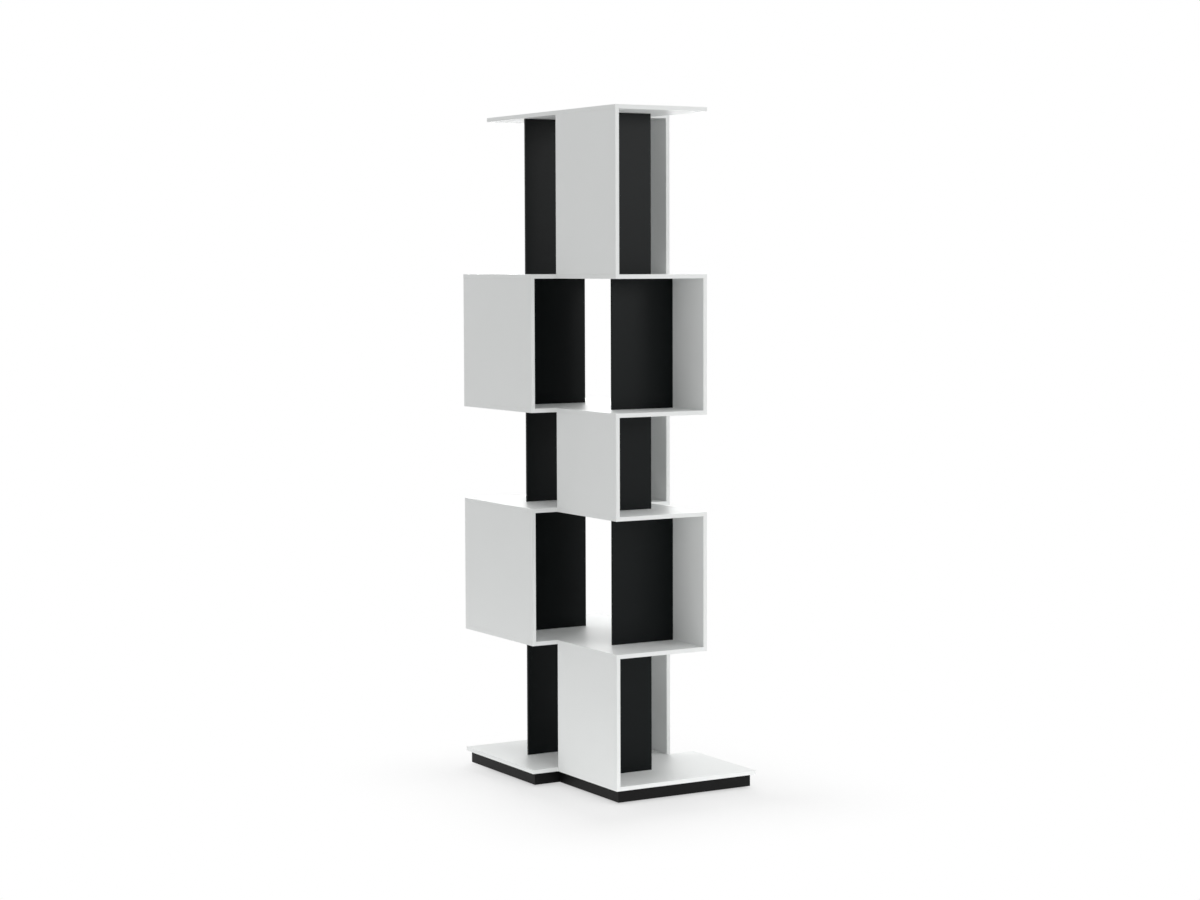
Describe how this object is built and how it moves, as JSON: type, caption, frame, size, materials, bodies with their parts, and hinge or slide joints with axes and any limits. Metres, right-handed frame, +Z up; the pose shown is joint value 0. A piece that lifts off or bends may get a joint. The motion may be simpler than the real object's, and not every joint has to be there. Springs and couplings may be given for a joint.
{
  "type": "bookcase",
  "caption": "Free-standing stepped bookcase, open on all sides: white boards and side walls, black dividers, and rows that step left and right on a recessed black plinth.",
  "frame": {"origin": "middle of the footprint's bounding box, on the floor", "axes": "+Z up, -Y towards the front, +X to the right seen from the front"},
  "size_m": [0.551, 0.755, 1.953],
  "materials": {
    "white_lacquer": "matt white lacquer on fine board",
    "black_lacquer": "matt black lacquer on fine board",
    "plinth_black": "finely textured black paint",
    "block_wood": "raw beech",
    "dowel_wood": "raw beech",
    "fixing_steel": "bright zinc plate",
    "insert_brass": "turned",
    "pad_plastic": "moulded"
  },
  "bodies": {
    "carcass": {"base_board": "white_lacquer", "shelf_1": "white_lacquer", "shelf_2": "white_lacquer", "shelf_3": "white_lacquer", "shelf_4": "white_lacquer", "top_board": "white_lacquer", "front_wall_1": "white_lacquer", "front_wall_2": "white_lacquer", "front_wall_3": "white_lacquer", "front_wall_4": "white_lacquer", "front_wall_5": "white_lacquer", "back_wall_1": "white_lacquer", "back_wall_2": "white_lacquer", "back_wall_3": "white_lacquer", "back_wall_4": "white_lacquer", "back_wall_5": "white_lacquer", "front_divider_1": "black_lacquer", "front_divider_2": "black_lacquer", "front_divider_3": "black_lacquer", "front_divider_4": "black_lacquer", "front_divider_5": "black_lacquer", "back_divider_1": "black_lacquer", "back_divider_2": "black_lacquer", "back_divider_3": "black_lacquer", "back_divider_4": "black_lacquer", "back_divider_5": "black_lacquer", "plinth_rail_front": "plinth_black", "plinth_rail_front_right": "plinth_black", "plinth_rail_step_right": "plinth_black", "plinth_rail_back_right": "plinth_black", "plinth_rail_back": "plinth_black", "plinth_rail_back_left": "plinth_black", "plinth_rail_step_left": "plinth_black", "plinth_rail_front_left": "plinth_black", "plinth_cross_rail": "plinth_black", "foot_block_front_left": "block_wood", "foot_block_front_right": "block_wood", "foot_block_step_right": "block_wood", "foot_block_back_right": "block_wood", "foot_block_back_left": "block_wood", "foot_block_step_left": "block_wood", "wall_dowels": "dowel_wood", "divider_pins": "fixing_steel", "plinth_dowels": "dowel_wood", "block_screws": "fixing_steel", "foot_inserts": "insert_brass"},
    "pad_front_left": {"foot_pad_front_left": "pad_plastic"},
    "stud_front_left": {"foot_stud_front_left": "fixing_steel"},
    "pad_front_right": {"foot_pad_front_right": "pad_plastic"},
    "stud_front_right": {"foot_stud_front_right": "fixing_steel"},
    "pad_step_right": {"foot_pad_step_right": "pad_plastic"},
    "stud_step_right": {"foot_stud_step_right": "fixing_steel"},
    "pad_back_right": {"foot_pad_back_right": "pad_plastic"},
    "stud_back_right": {"foot_stud_back_right": "fixing_steel"},
    "pad_back_left": {"foot_pad_back_left": "pad_plastic"},
    "stud_back_left": {"foot_stud_back_left": "fixing_steel"},
    "pad_step_left": {"foot_pad_step_left": "pad_plastic"},
    "stud_step_left": {"foot_stud_step_left": "fixing_steel"}
  },
  "joints": [
    {"name": "level_front_left", "type": "slide", "parent": "carcass", "child": "pad_front_left", "axis": [0, 0, -1], "range_m": [-0.004, 0.01]},
    {"name": "turn_front_left", "type": "hinge", "parent": "pad_front_left", "child": "stud_front_left", "pos_m": [-0.1375, -0.3225, 0.01], "axis": [0, 0, -1], "range_deg": [-1153, 2881]},
    {"name": "level_front_right", "type": "slide", "parent": "carcass", "child": "pad_front_right", "axis": [0, 0, -1], "range_m": [-0.004, 0.01]},
    {"name": "turn_front_right", "type": "hinge", "parent": "pad_front_right", "child": "stud_front_right", "pos_m": [0.2205, -0.3225, 0.01], "axis": [0, 0, -1], "range_deg": [-1153, 2881]},
    {"name": "level_step_right", "type": "slide", "parent": "carcass", "child": "pad_step_right", "axis": [0, 0, -1], "range_m": [-0.004, 0.01]},
    {"name": "turn_step_right", "type": "hinge", "parent": "pad_step_right", "child": "stud_step_right", "pos_m": [0.2205, -0.0975, 0.01], "axis": [0, 0, -1], "range_deg": [-1153, 2881]},
    {"name": "level_back_right", "type": "slide", "parent": "carcass", "child": "pad_back_right", "axis": [0, 0, -1], "range_m": [-0.004, 0.01]},
    {"name": "turn_back_right", "type": "hinge", "parent": "pad_back_right", "child": "stud_back_right", "pos_m": [0.1375, 0.3225, 0.01], "axis": [0, 0, -1], "range_deg": [-1153, 2881]},
    {"name": "level_back_left", "type": "slide", "parent": "carcass", "child": "pad_back_left", "axis": [0, 0, -1], "range_m": [-0.004, 0.01]},
    {"name": "turn_back_left", "type": "hinge", "parent": "pad_back_left", "child": "stud_back_left", "pos_m": [-0.2205, 0.3225, 0.01], "axis": [0, 0, -1], "range_deg": [-1153, 2881]},
    {"name": "level_step_left", "type": "slide", "parent": "carcass", "child": "pad_step_left", "axis": [0, 0, -1], "range_m": [-0.004, 0.01]},
    {"name": "turn_step_left", "type": "hinge", "parent": "pad_step_left", "child": "stud_step_left", "pos_m": [-0.2205, 0.0125, 0.01], "axis": [0, 0, -1], "range_deg": [-1153, 2881]}
  ],
  "couplings": [
    {"joint": "turn_front_left", "follows": "level_front_left", "rad_per_m": 5026.5},
    {"joint": "turn_front_right", "follows": "level_front_right", "rad_per_m": 5026.5},
    {"joint": "turn_step_right", "follows": "level_step_right", "rad_per_m": 5026.5},
    {"joint": "turn_back_right", "follows": "level_back_right", "rad_per_m": 5026.5},
    {"joint": "turn_back_left", "follows": "level_back_left", "rad_per_m": 5026.5},
    {"joint": "turn_step_left", "follows": "level_step_left", "rad_per_m": 5026.5}
  ]
}
